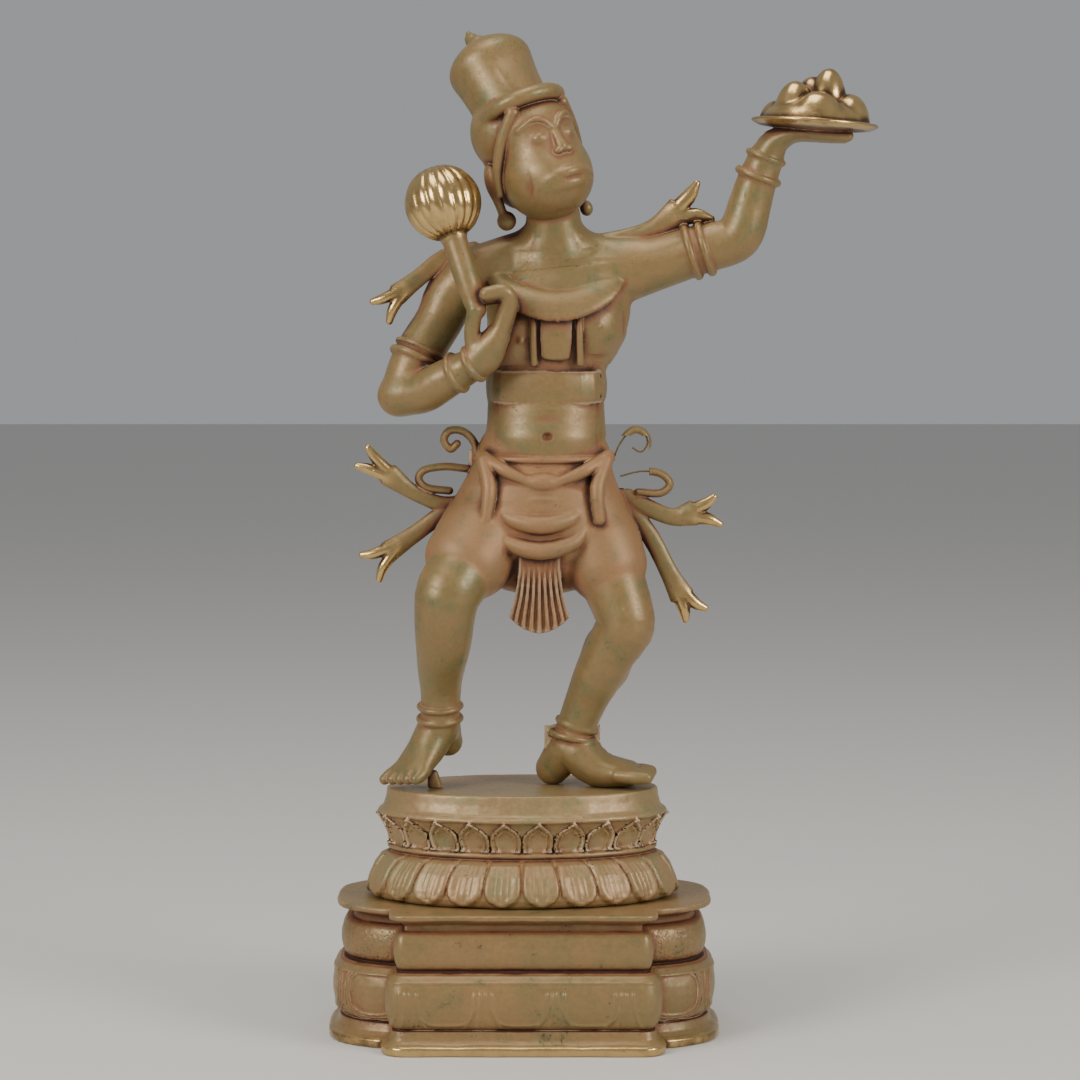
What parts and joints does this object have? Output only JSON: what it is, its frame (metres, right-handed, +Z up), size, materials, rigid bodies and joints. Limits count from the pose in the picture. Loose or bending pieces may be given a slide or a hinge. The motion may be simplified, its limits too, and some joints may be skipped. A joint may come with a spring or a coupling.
{
  "type": "figurine",
  "caption": "Cast figure of a striding monkey-faced guardian with a mace and a raised mountain, on an oval lotus pedestal and a moulded plinth.",
  "frame": {"origin": "middle of the plinth's flat underside", "axes": "+Z up the figure, -Y the way the figure and the plinth's front face, +X towards the raised hand"},
  "size_m": [0.2484, 0.1252, 0.4567],
  "materials": {
    "figure_bronze": "waxed olive and ochre patina, polished dark bronze on mace head, mountain and sash ends",
    "pedestal_bronze": "worn ochre patina, reddish in the recesses",
    "plinth_bronze": "worn ochre patina with dark blotches, dark polished foot rim"
  },
  "bodies": {
    "root": {"hanuman_figure": "figure_bronze", "lotus_pedestal": "pedestal_bronze", "moulded_plinth": "plinth_bronze"}
  },
  "joints": []
}
